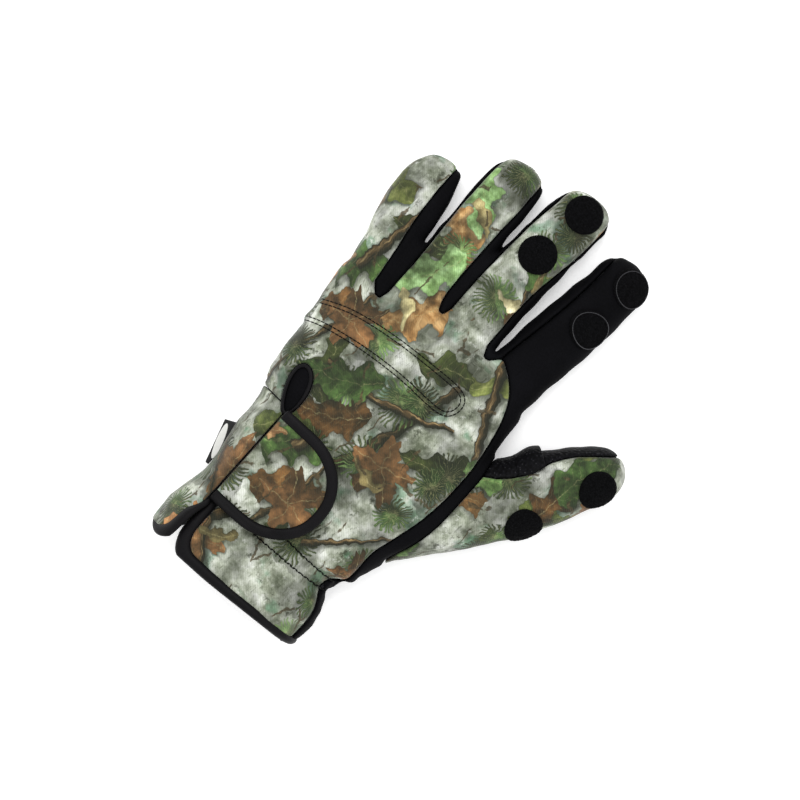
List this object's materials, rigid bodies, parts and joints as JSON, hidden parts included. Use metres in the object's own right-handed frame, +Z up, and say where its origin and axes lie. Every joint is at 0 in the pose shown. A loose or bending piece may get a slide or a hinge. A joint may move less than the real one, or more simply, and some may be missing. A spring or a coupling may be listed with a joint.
{
  "type": "fishing glove",
  "caption": "Left-hand neoprene fishing glove with woodland camouflage back, black palm, fold-back fingertips held by hook-and-loop dots, and a wrist strap.",
  "frame": {"origin": "on the surface that the glove lies on, under the middle of its box", "axes": "+Y from the cuff to the fingertips, +X to the thumb side, +Z up through the back of the hand"},
  "size_m": [0.1784, 0.261, 0.0402],
  "materials": {
    "printed_neoprene": null,
    "black_neoprene": "plain black stretch knit, matt with a faint sheen",
    "grip_fabric": "black grip fabric with a fine pebble grain",
    "edge_tape": "black folded tape, lightly ribbed",
    "hook_and_loop": "black looped pile",
    "label": "black woven tag with a bare white oval"
  },
  "bodies": {
    "root": {"back_panel": "printed_neoprene", "thumb_shell": "printed_neoprene", "strap_base": "printed_neoprene", "strap_tab": "printed_neoprene", "palm_panel": "black_neoprene", "fourchette_little_ring": "black_neoprene", "fourchette_ring_middle": "black_neoprene", "fourchette_middle_index": "black_neoprene", "index_panel": "black_neoprene", "vent_gusset": "black_neoprene", "middle_tip_grip": "grip_fabric", "index_tip_grip": "grip_fabric", "thumb_grip": "grip_fabric", "thumb_tip_grip": "grip_fabric", "thumb_flap": "grip_fabric", "strap_binding": "edge_tape", "tab_binding": "edge_tape", "cuff_binding": "edge_tape", "vent_binding": "edge_tape", "tab_fastener": "hook_and_loop", "dot_middle_base": "hook_and_loop", "dot_middle_tip": "hook_and_loop", "dot_index_base": "hook_and_loop", "dot_index_tip": "hook_and_loop", "dot_thumb_base": "hook_and_loop", "dot_thumb_tip": "hook_and_loop", "label_tag": "label"}
  },
  "joints": []
}
